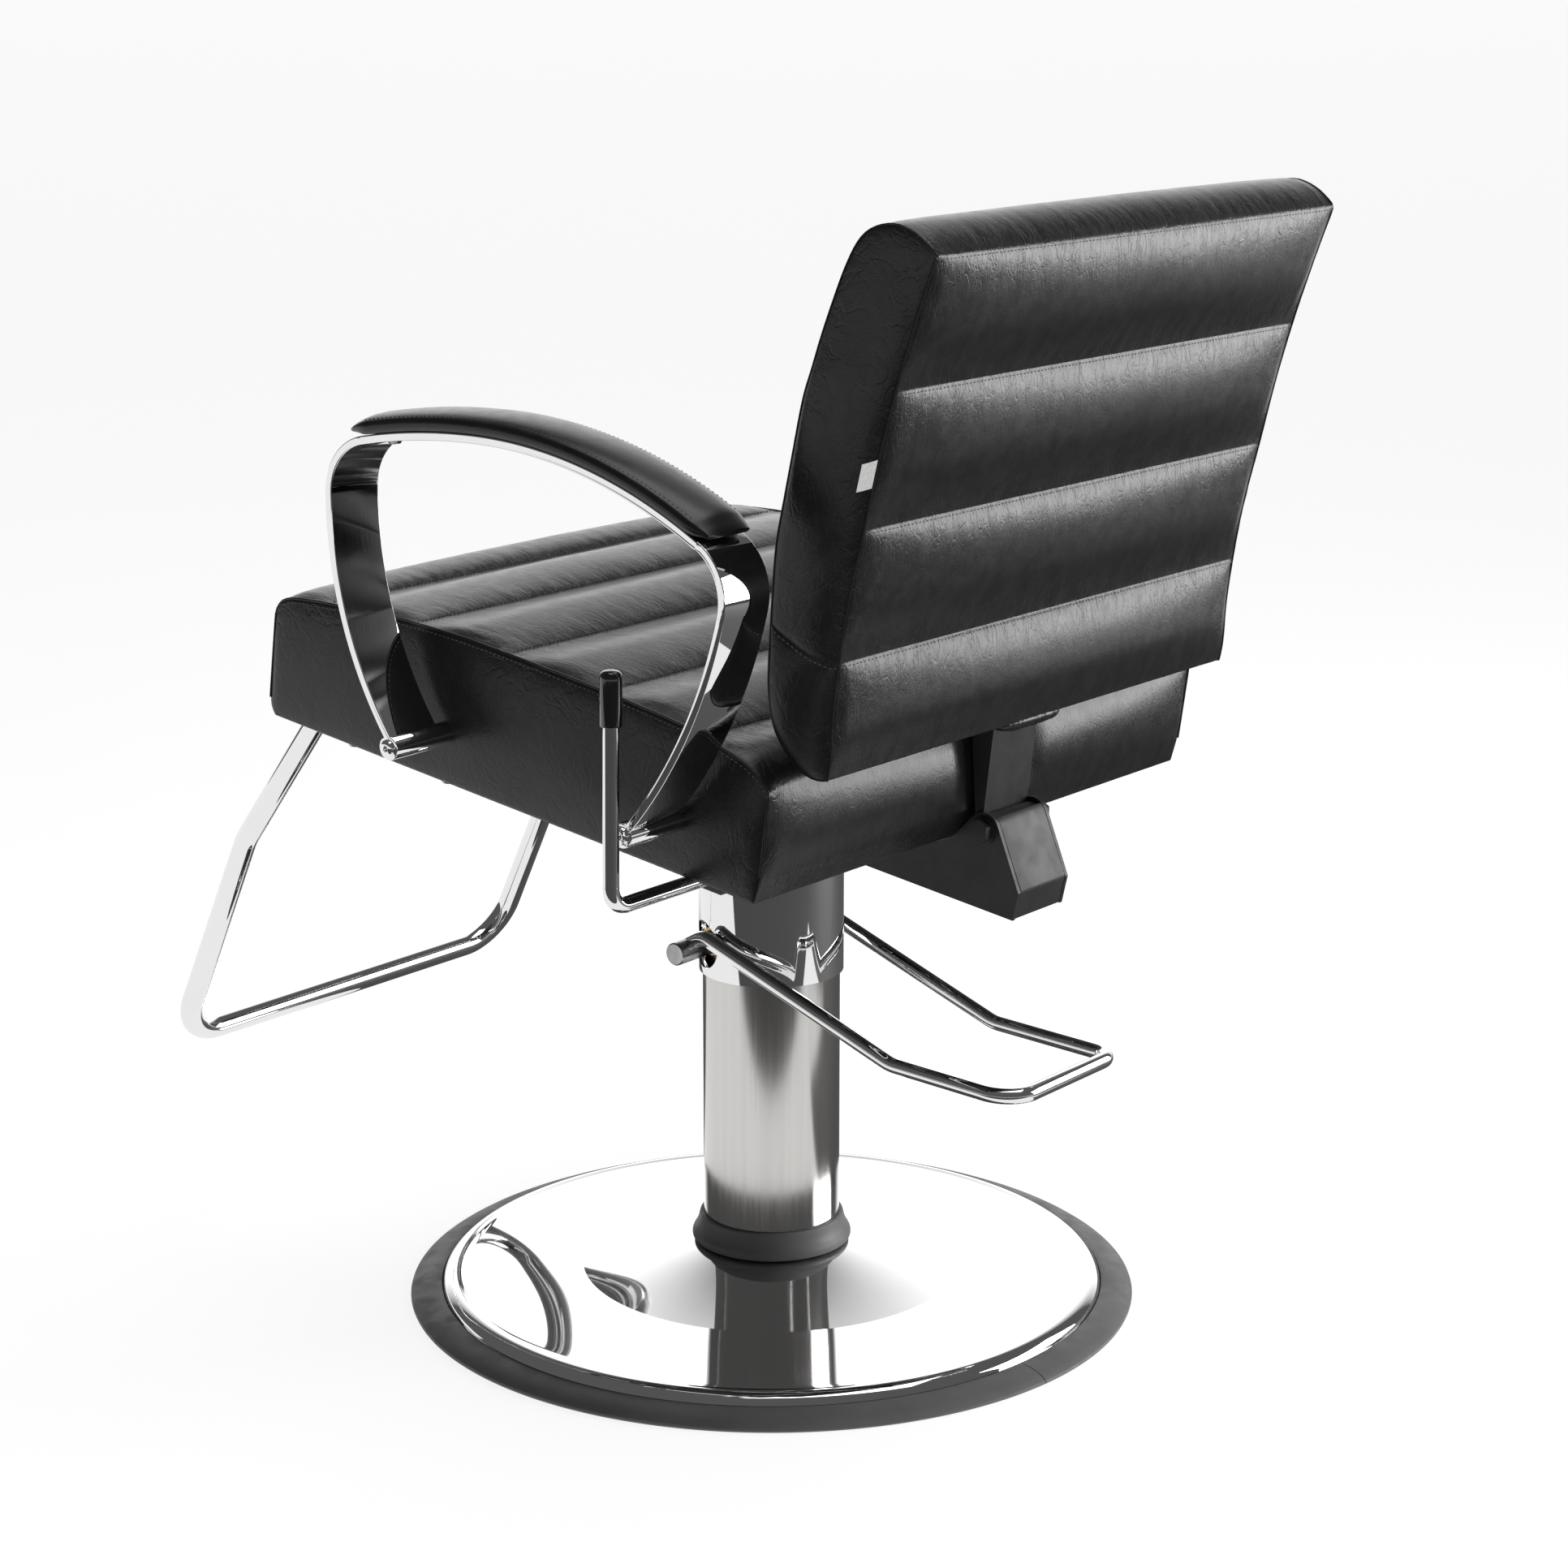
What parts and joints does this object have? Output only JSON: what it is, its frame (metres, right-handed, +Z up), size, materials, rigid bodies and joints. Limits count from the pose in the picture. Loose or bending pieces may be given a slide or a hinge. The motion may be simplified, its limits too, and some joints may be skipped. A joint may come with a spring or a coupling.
{
  "type": "styling chair",
  "caption": "Hydraulic styling chair: swivelling chrome pedestal with foot pump, pitched channelled seat, loop arms, footrest and a reclining backrest.",
  "frame": {"origin": "on the swivel axis, at floor level under the base", "axes": "+Z up, the sitter faces -Y, +X is towards the sitter's left"},
  "size_m": [0.7172, 0.858, 0.9275],
  "materials": {
    "chrome": "mirror chrome plate",
    "satin_chrome": "satin chrome plate with fine lengthwise grain",
    "steel": "machined bright steel",
    "rubber": "matte dark grey rubber",
    "black_powder": "fine textured matte black powder coat",
    "black_plastic": "matte black moulded plastic",
    "bronze": "sintered bronze",
    "nylon": "natural nylon",
    "black_vinyl": "soft black upholstery vinyl over foam, fine grain",
    "dust_fabric": "black woven dust cloth",
    "white_tag": "blank white woven tag",
    "plywood": "birch plywood",
    "black_grip": "glossy black vinyl grip"
  },
  "bodies": {
    "base": {"base_plate": "steel", "base_cover": "chrome", "base_trim_ring": "rubber", "column_gasket": "rubber", "outer_tube": "satin_chrome", "swivel_socket": "steel", "base_bolts": "steel", "thrust_bearing": "steel"},
    "pump": {"pump_cylinder": "steel", "pump_head": "steel", "shaft_bushes": "bronze", "pump_shroud": "chrome", "shroud_cap": "black_plastic", "ram_guide": "bronze", "ram_seal": "rubber", "plunger_spring": "steel"},
    "pedal": {"pump_shaft": "steel", "pump_pedal": "chrome"},
    "plunger": {"pump_plunger": "steel"},
    "seat": {"lift_ram": "chrome", "ram_piston": "steel", "seat_bracket": "black_powder", "rear_cover": "black_powder", "seat_bolts": "steel", "seat_frame": "plywood", "dust_cover": "dust_fabric", "seat_cushion": "black_vinyl", "footrest_tube": "chrome", "footrest_clamps": "black_powder", "footrest_screws": "steel", "arm_frame_left": "chrome", "arm_frame_right": "chrome", "arm_pad_left": "black_vinyl", "arm_pad_right": "black_vinyl", "arm_bolts_left": "chrome", "arm_bolts_right": "chrome", "pad_screws": "steel", "pivot_bolt": "black_powder", "pivot_nut": "black_powder", "spring_front_pin": "steel", "lever_bearings": "black_plastic"},
    "back": {"back_upright": "black_powder", "pivot_bushes": "nylon", "back_board": "plywood", "back_bolts": "steel", "back_cushion": "black_vinyl", "back_tag": "white_tag", "spring_rear_pin": "steel"},
    "gas_rod": {"gas_spring_rod": "steel"},
    "gas_cylinder": {"gas_spring_cylinder": "black_powder"},
    "recline_lever": {"release_lever": "chrome", "lever_grip": "black_grip"},
    "release_pin": {"release_pin": "steel"}
  },
  "joints": [
    {"name": "swivel", "type": "hinge", "parent": "base", "child": "pump", "pos_m": [0, 0, 0.03], "axis": [0, 0, 1], "continuous": true},
    {"name": "pump_pedal", "type": "hinge", "parent": "pump", "child": "pedal", "pos_m": [0, -0.029, 0.306], "axis": [-1, 0, 0], "range_deg": [0, 25], "stiffness_Nm_per_rad": 8, "springref_deg": -34.38},
    {"name": "plunger_stroke", "type": "slide", "parent": "pump", "child": "plunger", "axis": [0, 0, 1], "range_m": [0, 0.007], "deforming": ["plunger_spring"]},
    {"name": "seat_lift", "type": "slide", "parent": "pump", "child": "seat", "axis": [0, 0, 1], "range_m": [0, 0.16]},
    {"name": "back_recline", "type": "hinge", "parent": "seat", "child": "back", "pos_m": [0, 0.237, 0.443], "axis": [-1, 0, 0], "range_deg": [0, 35]},
    {"name": "gas_spring_tilt", "type": "hinge", "parent": "seat", "child": "gas_rod", "pos_m": [0, 0.108, 0.412], "axis": [-1, 0, 0], "range_deg": [0, 2.5]},
    {"name": "gas_spring_stroke", "type": "slide", "parent": "gas_rod", "child": "gas_cylinder", "axis": [0, -0.9971, 0.0756], "range_m": [0, 0.0275]},
    {"name": "recline_release", "type": "hinge", "parent": "seat", "child": "recline_lever", "pos_m": [0.1, 0.1405, 0.436], "axis": [1, 0, 0], "range_deg": [0, 10], "stiffness_Nm_per_rad": 4, "springref_deg": -14.32},
    {"name": "release_pin_press", "type": "slide", "parent": "gas_rod", "child": "release_pin", "axis": [0, 0.9971, -0.0756], "range_m": [0, 0.0055]}
  ],
  "couplings": [
    {"joint": "plunger_stroke", "follows": "pump_pedal", "m_per_rad": 0.015},
    {"joint": "gas_spring_tilt", "follows": "back_recline", "ratio": 0.06571},
    {"joint": "gas_spring_stroke", "follows": "back_recline", "m_per_rad": 0.04376},
    {"joint": "release_pin_press", "follows": "recline_release", "m_per_rad": 0.0275}
  ]
}
